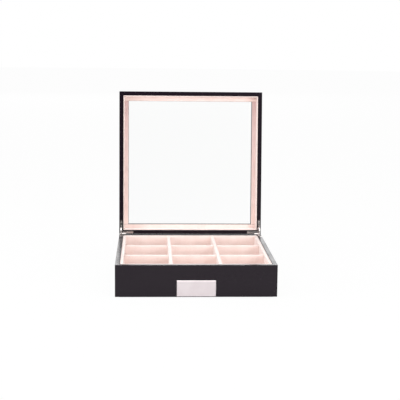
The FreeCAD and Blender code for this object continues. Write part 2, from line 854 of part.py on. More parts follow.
def make_lid():
    """Make the frame rails, the pane and the suede-wrapped strips that line the lid and hold the pane."""
    for name in ("front", "rear", "left", "right"):
        lid_rail(name)
    glass_x = HALF_WIDTH - WALL - size("glass_gap")
    glass_y = HALF_DEPTH - WALL - size("glass_gap")
    block("glass_pane", (-glass_x, -glass_y, GLASS_BOTTOM), (glass_x, glass_y, LID_FRAME_BOTTOM), OPEN_LID)
    retainer_width = size("lid_frame_width") - WALL - size("fit_gap")
    lid_strips(
        "retainer", INNER_X, INNER_Y, retainer_width, RETAINER_BOTTOM, GLASS_BOTTOM, size("retainer_round")
    )
    lining_bottom = LID_RIM + size("lid_lining_drop")
    lid_strips(
        "lining",
        INNER_X,
        INNER_Y,
        size("lid_lining_thickness"),
        lining_bottom,
        RETAINER_BOTTOM,
        size("lid_lining_round"),
    )


def check_document():
    """Stop if any object failed, any piece is empty or broken, or any cut removed nothing."""
    doc.recompute()
    for thing in doc.Objects:
        if "Invalid" in thing.State or "Error" in thing.State:
            raise RuntimeError("%s failed: %s" % (thing.Label, thing.State))
        if thing.TypeId in ("PartDesign::Pocket", "PartDesign::Hole"):
            if thing.BaseFeature.Shape.Volume - thing.Shape.Volume < 0.01:
                raise RuntimeError(thing.Label + " removed nothing")
    for label, piece in pieces.items():
        if piece.Shape.isNull() or not piece.Shape.isValid():
            raise RuntimeError(label + " has no sound shape")


make_hinges_and_walls()
make_bottom()
make_plate()
make_linings()
make_dividers()
make_lid()
check_document()
for label, piece in pieces.items():
    piece.Shape.exportStep("parts/%s.step" % label)
    print("%-28s %2d solids %10.1f mm3" % (label, len(piece.Shape.Solids), piece.Shape.Volume))
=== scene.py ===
# %% [markdown]
# # A tie box, dressed for its picture
# The box is a shallow square base of black lacquered boards with nine compartments lined in pale pink
# suede, and a deep lid that frames a pane of glass. Two small quadrant hinges hold the lid open.
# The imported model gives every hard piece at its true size, so this script never moves one. It gives them
# finishes, and it makes again, in softer shapes, everything that is wrapped in cloth.

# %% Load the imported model
import json
import math

import bmesh
import bpy
import numpy as np
from mathutils import Matrix, Vector


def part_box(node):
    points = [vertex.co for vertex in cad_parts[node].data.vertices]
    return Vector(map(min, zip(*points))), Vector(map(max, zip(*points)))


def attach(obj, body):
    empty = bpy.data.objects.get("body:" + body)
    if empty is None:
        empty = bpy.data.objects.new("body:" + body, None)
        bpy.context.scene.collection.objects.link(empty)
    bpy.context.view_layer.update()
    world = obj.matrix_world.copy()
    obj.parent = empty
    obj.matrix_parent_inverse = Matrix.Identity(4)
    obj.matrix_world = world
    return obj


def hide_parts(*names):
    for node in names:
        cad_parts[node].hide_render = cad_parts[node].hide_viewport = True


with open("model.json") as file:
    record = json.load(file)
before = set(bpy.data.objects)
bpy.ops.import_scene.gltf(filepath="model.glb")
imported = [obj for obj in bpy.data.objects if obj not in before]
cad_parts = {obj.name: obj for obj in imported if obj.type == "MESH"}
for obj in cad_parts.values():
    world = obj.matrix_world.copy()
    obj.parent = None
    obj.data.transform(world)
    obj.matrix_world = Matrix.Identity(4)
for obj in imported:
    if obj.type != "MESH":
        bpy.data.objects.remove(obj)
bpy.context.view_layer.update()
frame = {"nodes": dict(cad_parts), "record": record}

nodes = frame["nodes"]

# %% [markdown]
# ## Where things are
# Lengths are in metres. A node's own box tells where a board lies, so the few numbers below are only those
# that no box gives: the axis of the hinge pins, and the angle at which the lid stands.

# %% Measures shared by the cells below
MM = 0.001
AXIS_Y = 145 * MM
AXIS_Z = 59.2 * MM
LID_ANGLE = math.radians(-95)


def turned_open(points):
    """Turn points of the shut lid about the hinge pins: Y and Z rotate by the lid's angle."""
    y = points[..., 1] - AXIS_Y
    z = points[..., 2] - AXIS_Z
    turned = np.array(points, dtype=float)
    turned[..., 1] = AXIS_Y + y * math.cos(LID_ANGLE) - z * math.sin(LID_ANGLE)
    turned[..., 2] = AXIS_Z + y * math.sin(LID_ANGLE) + z * math.cos(LID_ANGLE)
    return turned


# %% [markdown]
# ## Camera
# The picture was taken a little to the left of the middle and from above, with a long lens. The place,
# the three angles and the lens come from matching the corners of the box, one corner after another, which
# is surer than moving a camera by eye.

# %% Camera
CAMERA_PLACE = Vector((-0.086902, -1.970177, 0.466402))
PITCH, YAW, ROLL = 0.15754, 0.050146, 0.010846
FOCAL_PIXELS, IMAGE_PIXELS = 1052.022, 400
SENSOR_WIDTH_MM = 36


def add_camera(place, pitch, yaw, roll, lens):
    """Aim a camera: yaw turns it to the right, pitch tips it down, and roll turns it about its own line."""
    ahead = Vector((math.sin(yaw) * math.cos(pitch), math.cos(yaw) * math.cos(pitch), -math.sin(pitch)))
    level = Vector((math.cos(yaw), -math.sin(yaw), 0))
    upright = level.cross(ahead)
    right = level * math.cos(roll) + upright * math.sin(roll)
    above = upright * math.cos(roll) - level * math.sin(roll)
    camera = bpy.data.objects.new("camera", bpy.data.cameras.new("camera"))
    camera.matrix_world = Matrix.Translation(place) @ Matrix((right, above, -ahead)).transposed().to_4x4()
    camera.data.lens = lens
    camera.data.clip_end = 100
    bpy.context.scene.collection.objects.link(camera)
    bpy.context.scene.camera = camera
    return camera


camera = add_camera(CAMERA_PLACE, PITCH, YAW, ROLL, FOCAL_PIXELS / IMAGE_PIXELS * SENSOR_WIDTH_MM)
bpy.context.scene.view_settings.view_transform = "Standard"
print("camera", tuple(round(c, 3) for c in camera.location), "lens", round(camera.data.lens, 2))

# %% [markdown]
# ## A short way to write materials
# A material is a small net of nodes. Written out in full, each node takes four or five lines, so one helper
# makes a node, sets its values and links it in a single call. Numbers that are the same all over a surface
# are set straight on the shader, so that they survive an export.

# %% Material helpers


def new_material(name):
    """Start an empty material and return it with its node tree."""
    material = bpy.data.materials.new(name)
    material.use_nodes = True
    material.node_tree.nodes.clear()
    return material, material.node_tree


def add(tree, kind, inputs=None, **settings):
    """Add a node; each input is a value or another node's output."""
    node = tree.nodes.new("ShaderNode" + kind)
    for name, value in settings.items():
        setattr(node, name, value)
    for name, value in (inputs or {}).items():
        if isinstance(value, bpy.types.NodeSocket):
            tree.links.new(value, node.inputs[name])
        else:
            node.inputs[name].default_value = value
    return node


def finish_material(tree, shader):
    """Link a shader to the material's output."""
    add(tree, "OutputMaterial", {"Surface": shader.outputs[0]})


def finish_principled(tree, values):
    """Give the material the general shader with these values."""
    finish_material(tree, add(tree, "BsdfPrincipled", values))


def place_of(tree, stretch=(1, 1, 1)):
    """Return the point's own place in metres, stretched along each axis."""
    coordinates = add(tree, "TexCoord")
    return add(tree, "Mapping", {"Vector": coordinates.outputs["Object"], "Scale": stretch}).outputs[0]


def noise(tree, place, per_metre, detail=3, roughness=0.55):
    """Return a cloudy pattern with about so many clouds to the metre."""
    values = {"Vector": place, "Scale": per_metre, "Detail": detail, "Roughness": roughness}
    return add(tree, "TexNoise", values).outputs[0]


def spread(tree, value, low, high, start=0.35, end=0.65):
    """Stretch a pattern, so that its usual range runs from low to high."""
    values = {"Value": value, "From Min": start, "From Max": end, "To Min": low, "To Max": high}
    return add(tree, "MapRange", values).outputs[0]


def times(tree, first, second, operation="MULTIPLY"):
    """Join two numbers by arithmetic."""
    return add(tree, "Math", {0: first, 1: second}, operation=operation).outputs[0]


def blend_colours(tree, value, stops):
    """Return a colour that follows a pattern through the given stops."""
    ramp = add(tree, "ValToRGB", {"Fac": value})
    elements = ramp.color_ramp.elements
    elements[0].position, elements[0].color = stops[0][0], (*stops[0][1], 1)
    elements[1].position, elements[1].color = stops[-1][0], (*stops[-1][1], 1)
    for position, colour in stops[1:-1]:
        elements.new(position).color = (*colour, 1)
    return ramp.outputs[0]


def mix_colours(tree, share, first, second, blend="MIX"):
    """Return the first colour, mixed or multiplied with the second by a share."""
    node = add(tree, "Mix", data_type="RGBA", blend_type=blend)
    for number, value in ((0, share), (6, first), (7, second)):
        if isinstance(value, bpy.types.NodeSocket):
            tree.links.new(value, node.inputs[number])
        else:
            node.inputs[number].default_value = value
    return node.outputs[2]


def bumps(tree, height, distance, strength=1.0, below=None):
    """Return a normal that is tipped by a height pattern, over another normal if one is given."""
    values = {"Height": height, "Distance": distance, "Strength": strength}
    if below is not None:
        values["Normal"] = below
    return add(tree, "Bump", values).outputs[0]


print("helpers ready")

# %% [markdown]
# ## Floor and surroundings
# The box stands on white paper that runs up behind it without a fold. A camera should see plain white
# there, but the paper must still darken under the box. So the paper is mostly a white glow for the camera,
# mixed with a little true paper. Gloss sees mostly true paper, so metal shows the shade at the box's foot,
# and it sees the paper fade out in front, as if it ended there. For all other light it is true paper.

# %% Floor
FLOOR_RADII = np.array([0.0, 0.3, 0.6, 1.2, 2.5, 5.0, 12.0])
FLOOR_SPOKES = 96
FLOOR_DROP = 0.1 * MM


def make_floor():
    """Make the paper floor: a disc of rings about the object, each ring's points on a circle.

    It lies a hair under the felt, so that the two never share a plane.
    """
    radii, spokes = FLOOR_RADII, FLOOR_SPOKES
    turn = np.linspace(0, 2 * np.pi, spokes, endpoint=False)
    x = radii[:, None] * np.cos(turn)
    y = radii[:, None] * np.sin(turn)
    points = np.stack([x, y, np.full_like(x, -FLOOR_DROP)], axis=-1).reshape(-1, 3)
    ring, spoke = np.meshgrid(np.arange(len(radii) - 1), np.arange(spokes), indexing="ij")
    here = ring * spokes + spoke
    beside = ring * spokes + (spoke + 1) % spokes
    faces = np.stack([here, here + spokes, beside + spokes, beside], axis=-1).reshape(-1, 4)
    mesh = bpy.data.meshes.new("paper_floor")
    mesh.from_pydata(points.tolist(), [], faces.tolist())
    floor = bpy.data.objects.new("paper_floor", mesh)
    bpy.context.scene.collection.objects.link(floor)
    tidy_mesh(mesh)
    return floor


def tidy_mesh(mesh, sharp_degrees=None):
    """Merge points that fall together, and shade smooth except where faces meet at a sharp angle."""
    work = bmesh.new()
    work.from_mesh(mesh)
    bmesh.ops.remove_doubles(work, verts=work.verts, dist=1e-7)
    bmesh.ops.dissolve_degenerate(work, edges=work.edges, dist=1e-8)
    work.to_mesh(mesh)
    work.free()
    if sharp_degrees:
        mesh.shade_smooth()
        mesh.set_sharp_from_angle(angle=math.radians(sharp_degrees))


DARK_SIDE = (-0.6, -0.8, 0)
PAPER_EDGE = (0.5, 1.4)


def along(tree, point, direction):
    """Return how far a point lies in a direction: the dot product of the two."""
    return add(tree, "VectorMath", {0: point, 1: direction}, operation="DOT_PRODUCT").outputs["Value"]


def sort_rays(tree):
    """Return two switches: 1 for rays that show the white background, and 1 for rays off a gloss.

    A pane of glass marks the rays through it as glossy too, so those are taken out of the second.
    """
    path = add(tree, "LightPath")
    not_through = times(tree, 1.0, path.outputs["Is Transmission Ray"], "SUBTRACT")
    gloss = times(tree, path.outputs["Is Glossy Ray"], not_through)
    shown = times(tree, path.outputs["Is Camera Ray"], path.outputs["Is Transmission Ray"], "MAXIMUM")
    return shown, gloss


def rise(tree, value, start, end, low=0.0, high=1.0, **settings):
    """Return a number that runs from low to high while the value runs from start to end."""
    return add(tree, "MapRange", {0: value, 1: start, 2: end, 3: low, 4: high}, **settings).outputs[0]


def paper_material(shown_share, mirrored_share):
    """White paper that shows as white, less the given shares of true paper that take the shadow."""
    material, tree = new_material("white_paper")
    grain = noise(tree, place_of(tree), 900, 4)
    colour = blend_colours(tree, grain, [(0.3, (0.86, 0.86, 0.86)), (0.7, (0.9, 0.9, 0.9))])
    paper = add(tree, "BsdfDiffuse", {"Color": colour, "Normal": bumps(tree, grain, 0.0001, 0.3)})
    glow = add(tree, "Emission", {"Color": (1, 1, 1, 1), "Strength": 1.0})
    shown, gloss = sort_rays(tree)
    share = times(tree, times(tree, shown, shown_share), times(tree, gloss, mirrored_share), "MAXIMUM")
    white = add(tree, "MixShader", {0: share, 1: paper.outputs[0], 2: glow.outputs[0]})
    forward = along(tree, place_of(tree), DARK_SIDE)
    unlit = rise(tree, forward, *PAPER_EDGE, high=0.93, interpolation_type="SMOOTHSTEP")
    dark = add(tree, "Emission", {"Color": (0, 0, 0, 1), "Strength": 0.0})
    fading = times(tree, unlit, gloss)
    finish_material(tree, add(tree, "MixShader", {0: fading, 1: white.outputs[0], 2: dark.outputs[0]}))
    return material


floor = make_floor()
floor.data.materials.append(paper_material(0.95, 0.2))
print("floor", len(floor.data.polygons), "faces")

# %% [markdown]
# The light in a studio comes from large pale surfaces all round, so soft cloth is lit evenly. Gloss is
# another matter, because it shows what it mirrors: white paper below and behind, and the darker room in
# front of the box. In the picture the lid's rim turns from grey at the hinges to black at the top, which is
# read here as that darker room. So the world has one level for soft surfaces, and a dark band in front that
# only gloss picks up.

# %% Surroundings


def make_surroundings(level, dark_level):
    """Light the scene evenly from all round; in gloss the part in front is darker, most to the left."""
    world = bpy.data.worlds.new("studio")
    bpy.context.scene.world = world
    world.cycles.sampling_method = "NONE"
    world.use_nodes = True
    tree = world.node_tree
    tree.nodes.clear()
    direction = add(tree, "TexCoord").outputs["Generated"]
    up = add(tree, "SeparateXYZ", {0: direction}).outputs["Z"]
    forward = along(tree, direction, DARK_SIDE)
    smooth = {"interpolation_type": "SMOOTHSTEP"}
    in_front = rise(tree, forward, 0.55, 0.85, **smooth)
    over_paper = rise(tree, up, -0.08, 0.0, **smooth)
    under_lamps = rise(tree, up, 0.4, 0.75, 1.0, 0.0, **smooth)
    dark = times(tree, times(tree, in_front, over_paper), under_lamps)
    mirrored = rise(tree, dark, 0.0, 1.0, 1.0, dark_level)
    shown, gloss = sort_rays(tree)
    strength = rise(tree, gloss, 0.0, 1.0, level, mirrored)
    strength = rise(tree, shown, 0.0, 1.0, strength, 1.0)
    glow = add(tree, "Background", {"Color": (1, 1, 1, 1), "Strength": strength})
    add(tree, "OutputWorld", {"Surface": glow.outputs[0]})


make_surroundings(0.69, 0.06)
print("surroundings ready")

# %% [markdown]
# The soft wedges of shade low in each compartment come from two low lamps, one to each side: each throws
# the shade of the dividers on its own side, and the left one stands further round, so it whitens the faces
# that look left. A third hangs overhead for the divider tops, and a fourth, far behind and high, gives the
# black rims their grey shine where they are seen at a low angle.
#
# The two low lamps only give light, and neither gloss nor glass mirrors them. In the pane of a shut lid,
# their hard white squares would hide the compartments.

# %% Lamps


def add_lamp(name, place, aim, width, height, watts, mirrored=True):
    """Hang a rectangular lamp at a place, facing a point; gloss and glass need not mirror it."""
    lamp = bpy.data.lights.new(name, "AREA")
    lamp.shape = "RECTANGLE"
    lamp.size, lamp.size_y = width, height
    lamp.energy = watts
    holder = bpy.data.objects.new(name, lamp)
    holder.location = place
    holder.rotation_euler = (Vector(aim) - Vector(place)).to_track_quat("-Z", "Y").to_euler()
    holder.visible_glossy = mirrored
    holder.visible_transmission = mirrored
    bpy.context.scene.collection.objects.link(holder)
    return holder


add_lamp("lamp_overhead", (-0.05, -0.25, 1.7), (0, 0.02, 0.05), 1.2, 1.0, 8.2)
add_lamp("lamp_left", (-2.0, -0.95, 0.6), (0, 0.05, 0.1), 0.9, 0.8, 21.8, mirrored=False)
add_lamp("lamp_right", (1.2, -1.6, 0.55), (0, 0.05, 0.1), 0.7, 0.7, 15.5, mirrored=False)
add_lamp("lamp_behind", (-0.6, 6, 1.5), (0, 0, 0.1), 3.4, 1.5, 26)

# %% [markdown]
# ## Boards wrapped in suede
# The linings and dividers are thin boards with suede drawn tight over them. Cloth over a board is never
# quite flat: it rounds the long edges, and it lies a hair lower towards the ends, where it is folded under.
# A rounded section carried along the board gives all of that, and it is one formula for every board. A
# cloth simulation would add nothing here, because the suede is glued down.

# %% The section of a wrapped board


def board_section(width, height, radii, crown, arc_steps=7, side_steps=9):
    """Return the closed section of a wrapped board, anticlockwise from its lower right corner.

    Each corner is a quarter circle of its own radius. The sides between them are straight lines that are
    then drawn in: a point moves towards the middle line by the crown times the fourth power of its
    distance from mid height, and towards mid height in the same way.
    """
    quarter = np.linspace(0, np.pi / 2, arc_steps + 1)
    corners = [(1, 0, -np.pi / 2), (1, 1, 0), (-1, 1, np.pi / 2), (-1, 0, np.pi)]
    arcs = []
    for (side, top, start), radius in zip(corners, radii):
        middle = np.array([side * (width / 2 - radius), top * height + (1 - 2 * top) * radius])
        arcs.append(middle + radius * np.stack([np.cos(start + quarter), np.sin(start + quarter)], axis=1))
    share = np.linspace(0, 1, side_steps + 2)[1:-1, None]
    pieces = []
    for here, after in zip(arcs, arcs[1:] + arcs[:1]):
        pieces += [here, here[-1] + share * (after[0] - here[-1])]
    ring = np.concatenate(pieces)
    across = ring[:, 0] / (width / 2)
    upwards = ring[:, 1] / (height / 2) - 1
    drawn_x = ring[:, 0] - across * crown * upwards**4
    drawn_z = ring[:, 1] - upwards * crown * across**4
    return np.stack([drawn_x, drawn_z], axis=1)


def stations(length, end_round, count, slots=()):
    """Return the places along a board, how far its skin is drawn in there, and the slot each lies in.

    Towards each end the skin is drawn in along a quarter circle. At a slot's two walls a place comes
    twice, once outside the slot and once inside it.
    """
    quarter = np.linspace(0, np.pi / 2, 6)
    near = end_round * (1 - np.cos(quarter))
    inset = end_round * (1 - np.sin(quarter))
    middle = np.linspace(end_round, length - end_round, count)[1:-1]
    place = np.concatenate([near, middle, length - near[::-1]])
    drawn = np.concatenate([inset, np.zeros(len(middle)), inset[::-1]])
    within = np.zeros(len(place))
    for low, high in slots:
        outside = (place < low) | (place > high)
        place, drawn, within = place[outside], drawn[outside], within[outside]
        at = np.searchsorted(place, low)
        place = np.insert(place, at, [low, low, high, high])
        drawn = np.insert(drawn, at, [0, 0, 0, 0])
        within = np.insert(within, at, [0, 1, 1, 0])
    return place, drawn, within


example = board_section(7.4 * MM, 47 * MM, (0.4 * MM, 1.6 * MM, 1.6 * MM, 0.4 * MM), 0.2 * MM)
print("a divider's section has", len(example), "points")

# %% [markdown]
# A board's mesh is its section repeated at every station, which makes a grid: one direction runs round the
# section, the other along the board. A slot is made by holding the section's points under the slot's floor
# while they are inside it, or over its roof where the slot is cut from below.

# %% Carrying the section along the board


def add_piece(name, points, body, sharp_degrees=35):
    """Make a closed skin over rings of points, and let it ride on a body.

    Ring i, point j joins its neighbours j + 1 and i + 1; the first and last ring are closed by a face.
    """
    rings, around = points.shape[:2]
    i, j = np.meshgrid(np.arange(rings - 1), np.arange(around), indexing="ij")
    after = (j + 1) % around
    here, beyond = i * around, (i + 1) * around
    quads = np.stack([here + j, here + after, beyond + after, beyond + j], axis=-1)
    faces = quads.reshape(-1, 4).tolist()
    faces.append(list(range(around))[::-1])
    faces.append(list(range((rings - 1) * around, rings * around)))
    mesh = bpy.data.meshes.new(name)
    mesh.from_pydata(points.reshape(-1, 3).tolist(), [], faces)
    tidy_mesh(mesh, sharp_degrees)
    if signed_volume(mesh) < 0:
        mesh.flip_normals()
    piece = bpy.data.objects.new(name, mesh)
    bpy.context.scene.collection.objects.link(piece)
    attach(piece, body)
    return piece


def signed_volume(mesh):
    """Return the volume inside a mesh: a sixth of the sum, over triangles, of a . (b x c)."""
    mesh.calc_loop_triangles()
    corners = np.empty(len(mesh.loop_triangles) * 3, dtype=np.int32)
    mesh.loop_triangles.foreach_get("vertices", corners)
    places = np.empty(len(mesh.vertices) * 3)
    mesh.vertices.foreach_get("co", places)
    a, b, c = places.reshape(-1, 3)[corners.reshape(-1, 3)].transpose(1, 0, 2)
    return float(np.einsum("ij,ij->i", a, np.cross(b, c)).sum() / 6)


def wrapped_board(low, high, along_x, radii, crown, end_round=0.6 * MM, count=60, slots=(), cut=None):
    """Return the rings of a wrapped board that fills the box from low to high.

    cut is (height, sign): inside a slot the section is held below that height for sign 1 and above it
    for sign -1.
    """
    low, high = np.array(low), np.array(high)
    along = 0 if along_x else 1
    length = high[along] - low[along]
    width = high[1 - along] - low[1 - along]
    height = high[2] - low[2]
    ring = board_section(width, height, radii, crown)
    stretches = [(near - low[along], far - low[along]) for near, far in slots]
    place, drawn, within = stations(length, end_round, count, stretches)
    x = ring[None, :, 0] * (1 - drawn[:, None] / (width / 2))
    z = height / 2 + (ring[None, :, 1] - height / 2) * (1 - drawn[:, None] / (height / 2))
    if cut:
        level, sign = cut[0] - low[2], cut[1]
        held = np.minimum(z, level) if sign > 0 else np.maximum(z, level)
        z = np.where(within[:, None] > 0, held, z)
    run = np.broadcast_to(low[along] + place[:, None], x.shape)
    across = (low[1 - along] + high[1 - along]) / 2 + (x if along_x else -x)
    return np.stack([run, across, low[2] + z] if along_x else [across, run, low[2] + z], axis=-1)


def node_box(name):
    """Return a node's two corners as plain tuples."""
    low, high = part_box(name)
    return tuple(low), tuple(high)


print("board helpers ready")

# %% [markdown]
# ## Floor lining and upright linings
# The floor is one padded board. Four upright linings stand on it, a little under the rim, with tops that
# are rounder towards the compartments than towards the wall. They replace the plain solids of the packed
# model, each in its own place.

# %% Linings of the base
soft_pieces = []


def wrap_node(node, along_x, radii, crown, **options):
    """Replace a node by a wrapped board of the same box."""
    low, high = node_box(node)
    rings = wrapped_board(low, high, along_x, [radius * MM for radius in radii], crown * MM, **options)
    piece = add_piece("wrapped_" + node, rings, "base")
    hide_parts(node)
    soft_pieces.append(piece)
    return piece


INNER_RIGHT, INNER_LEFT = (0.4, 1.3, 0.5, 0.4), (0.4, 0.5, 1.3, 0.4)
wrap_node("floor_lining", True, (0.5, 0.8, 0.8, 0.5), 0.15)
for side, radii in (("front", INNER_RIGHT), ("rear", INNER_LEFT)):
    wrap_node("base_%s_lining" % side, True, radii, 0.2, end_round=1.2 * MM)
for side, radii in (("left", INNER_LEFT), ("right", INNER_RIGHT)):
    wrap_node("base_%s_lining" % side, False, radii, 0.2, end_round=0.5 * MM)
print("linings", len(soft_pieces))

# %% [markdown]
# ## Dividers
# Two boards run from front to back and two across them, halved over each other like an egg crate: the
# front-to-back boards are slotted from below and run through on top, and the cross boards are slotted from
# above. That is why the picture shows unbroken bands from front to back.

# %% Dividers
SLOT_GAP = 0.1 * MM
DIVIDER_RADII = (0.4, 1.6, 1.6, 0.4)
columns = ["column_divider_1", "column_divider_2"]
rows = ["row_divider_1", "row_divider_2"]
lining_top = node_box(columns[0])[0][2]
divider_top = node_box(columns[0])[1][2]
halfway = (lining_top + divider_top) / 2


def slots_across(others, axis):
    """Return where the given boards cross, as stretches along an axis."""
    boxes = [node_box(name) for name in others]
    return [(low[axis] - SLOT_GAP, high[axis] + SLOT_GAP) for low, high in boxes]


for name in columns:
    wrap_node(name, False, DIVIDER_RADII, 0.2, slots=slots_across(rows, 1), cut=(halfway + SLOT_GAP, -1))
for name in rows:
    wrap_node(name, True, DIVIDER_RADII, 0.2, slots=slots_across(columns, 0), cut=(halfway, 1))
print("dividers", [piece.name for piece in soft_pieces[-4:]])

# %% [markdown]
# ## Linings of the lid
# Thin wrapped strips line the lid's walls, and four more hold the pane against the frame. They are drawn
# with the lid shut, where they are square to the axes, and then turned open about the hinge pins. The
# picture shows a thin dark line beside the glass, read here as strips that end a little short of the frame.
# The upright strips are painted deeper in colour towards the far end: a painted shade that stands in for
# the light falling off there.

# %% Strips of the lid
LID_RIM = 59.4 * MM
RETAINER_BOTTOM = 84.4 * MM
GLASS_BOTTOM = 87.4 * MM
INNER = 136.8 * MM


def wrap_strip(node, side, width, bottom, top, inner_radius, crown, ends=None):
    """Replace one strip of the lid; the corner that is rounded most is the lower inner one."""
    sign = -1 if side in ("front", "left") else 1
    edges = sorted([sign * INNER, sign * (INNER - width)])
    along_x = side in ("front", "rear")
    near, far = ends or (-INNER, INNER)
    low = (near, edges[0], bottom) if along_x else (edges[0], near, bottom)
    high = (far, edges[1], top) if along_x else (edges[1], far, top)
    inner_is_right = side in ("front", "right")
    small = 0.2 * MM
    radii = (inner_radius, small, small, small) if inner_is_right else (small, small, small, inner_radius)
    rings = wrapped_board(low, high, along_x, radii, crown, end_round=0.25 * MM)
    piece = add_piece("wrapped_" + node, turned_open(rings), "lid")
    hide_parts(node)
    soft_pieces.append(piece)
    return piece


def paint_far_end_shade(piece):
    """Note how much painted shade each point takes: 0 at the hinges, rising to 1 at the far end."""
    heights = np.array([point.co.z for point in piece.data.vertices])
    values = np.clip((heights - heights.min()) / np.ptp(heights), 0, 1)
    nap_grain_and_painted_shade = piece.data.attributes.new("painted_far_end_shade", "FLOAT", "POINT")
    nap_grain_and_painted_shade.data.foreach_set("value", values.astype(np.float32))


STRIP_WIDTHS = {"front": 10.2 * MM, "rear": 9.4 * MM, "left": 9.9 * MM, "right": 9.7 * MM}
LINING_WIDTH = 2 * MM
LINING_BOTTOM = LID_RIM + 1 * MM
STRIP_ENDS = (STRIP_WIDTHS["front"] + 0.1 * MM - INNER, INNER - STRIP_WIDTHS["rear"] - 0.4 * MM)
LINING_ENDS = (2.1 * MM - INNER, INNER - 2.1 * MM)
for side, width in STRIP_WIDTHS.items():
    upright = side in ("left", "right")
    ends = STRIP_ENDS if upright else None
    retainer = "lid_%s_retainer" % side
    strip = wrap_strip(retainer, side, width, RETAINER_BOTTOM, GLASS_BOTTOM, 0.8 * MM, 0.12 * MM, ends)
    ends = LINING_ENDS if upright else None
    lining = "lid_%s_lining" % side
    wrap_strip(lining, side, LINING_WIDTH, LINING_BOTTOM, RETAINER_BOTTOM, 0.9 * MM, 0.1 * MM, ends)
    # Painted shade: the upright strips darken towards their far end.
    if upright:
        paint_far_end_shade(strip)
print("soft pieces", len(soft_pieces))

# %% [markdown]
# ## Felt under the base
# The underside doesn't show in the picture, and boxes like this usually have a felt pad that keeps the
# lacquer off the table. It is a sheet a millimetre thick, cut with rounded corners and glued flat, so it
# is built as a rounded outline whose rings step in from the edge to the middle, over the top and back
# under.

# %% Felt pad


def rounded_outline(half_x, half_y, radius, arc_steps=12, side_steps=20):
    """Return a rectangle with quarter-circle corners, anticlockwise, its sides divided evenly."""
    quarter = np.linspace(0, np.pi / 2, arc_steps + 1)
    share = np.linspace(0, 1, side_steps + 2)[1:-1, None]
    arcs = []
    for number, (sx, sy) in enumerate([(1, 1), (-1, 1), (-1, -1), (1, -1)]):
        middle = np.array([sx * (half_x - radius), sy * (half_y - radius)])
        turn = quarter + number * np.pi / 2
        arcs.append(middle + radius * np.stack([np.cos(turn), np.sin(turn)], axis=1))
    pieces = []
    for here, after in zip(arcs, arcs[1:] + arcs[:1]):
        pieces += [here, here[-1] + share * (after[0] - here[-1])]
    return np.concatenate(pieces)


def felt_rings(half, radius, thickness, edge_round):
    """Return the pad's rings: the outline scaled in steps, at the underside, round the edge and on top."""
    outline = rounded_outline(half, half, radius)
    quarter = np.linspace(0, np.pi / 2, 5)
    inward = np.linspace(0.02, 1, 12)[:-1]
    edge_scale = 1 - edge_round * (1 - np.sin(quarter)) / half
    edge_height = edge_round * (1 - np.cos(quarter))
    scale = np.concatenate([inward, edge_scale, edge_scale[::-1], inward[::-1]])
    under, over = np.zeros(len(inward)), np.full(len(inward), thickness)
    height = np.concatenate([under, edge_height, thickness - edge_height[::-1], over])
    flat = scale[:, None, None] * outline[None]
    return np.concatenate([flat, np.broadcast_to(height[:, None, None], flat.shape[:2] + (1,))], axis=-1)


felt = add_piece("felt_pad", felt_rings(142 * MM, 6 * MM, 1 * MM, 0.3 * MM), "base")
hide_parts("base_felt_pad")
print("felt", len(felt.data.vertices), "points")

# %% [markdown]
# ## Screws
# Each leaf is held by two small countersunk screws. Their cross recess is a guess that suits the size. The
# head is a disc of rings whose height dips wherever a point lies inside the cross, and the rings then run
# down the head's cone and along the shank.

# %% Screw heads with a cross recess
HEAD_RADIUS = 1.9 * MM
SHANK_RADIUS = 0.9 * MM
SCREW_LENGTH = 8 * MM


def screw_rings(head_radius=HEAD_RADIUS, shank_radius=SHANK_RADIUS, length=SCREW_LENGTH, around=72):
    """Return one screw's rings about its own axis, head up, with its top at height 0.

    The recess is 0.55 mm deep where either |x| or |y| is under 0.28 mm, fading over 0.12 mm, and it
    ends 1.15 mm from the middle.
    """
    top = np.linspace(0.03 * MM, head_radius - 0.1 * MM, 26)
    head_height = head_radius - shank_radius
    down = np.array([[head_radius, -0.06 * MM], [shank_radius, -head_height]])
    tip = [[shank_radius * 0.75, -length * 0.86], [0.05 * MM, -length]]
    shank = np.array([[shank_radius, -length * 0.7]] + tip)
    radius = np.concatenate([top, [head_radius - 0.03 * MM], down[:, 0], shank[:, 0]])
    height = np.concatenate([0 * top, [-0.02 * MM], down[:, 1], shank[:, 1]])
    turn = np.linspace(0, 2 * np.pi, around, endpoint=False)
    x = radius[:, None] * np.cos(turn)
    y = radius[:, None] * np.sin(turn)
    arm = np.minimum(np.abs(x), np.abs(y))
    inside = np.clip((0.34 * MM - arm) / (0.12 * MM), 0, 1)
    ends = np.clip((1.2 * MM - radius[:, None]) / (0.35 * MM), 0, 1)
    on_head = (np.arange(len(radius)) < len(top))[:, None]
    z = height[:, None] - 0.55 * MM * np.minimum(inside, ends) * on_head
    return np.stack([x, y, z], axis=-1)


def screw_spots(side):
    """Return the two places of a leaf's screws, read from the box of the base's screws."""
    low, high = node_box("%s_hinge_base_screws" % side)
    middle = (low[0] + high[0]) / 2
    return [(middle, low[1] + HEAD_RADIUS), (middle, high[1] - HEAD_RADIUS)], high[2]


def place_screw(rings, spot, seat, turn, head_up):
    """Return a screw's rings at a spot, turned about its own axis, with the head up or down."""
    x = rings[..., 0] * math.cos(turn) - rings[..., 1] * math.sin(turn)
    y = rings[..., 0] * math.sin(turn) + rings[..., 1] * math.cos(turn)
    sign = 1 if head_up else -1
    return np.stack([spot[0] + x, spot[1] + y, seat + sign * rings[..., 2]], axis=-1)


def join_pieces(name, parts, body):
    """Make one piece out of several sets of rings."""
    made = [add_piece("%s_%d" % (name, k), rings, body, 30) for k, rings in enumerate(parts)]
    work = bmesh.new()
    for piece in made:
        work.from_mesh(piece.data)
    mesh = bpy.data.meshes.new(name)
    work.to_mesh(mesh)
    work.free()
    for piece in made:
        bpy.data.objects.remove(piece)
    mesh.shade_smooth()
    mesh.set_sharp_from_angle(angle=math.radians(30))
    joined = bpy.data.objects.new(name, mesh)
    bpy.context.scene.collection.objects.link(joined)
    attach(joined, body)
    return joined


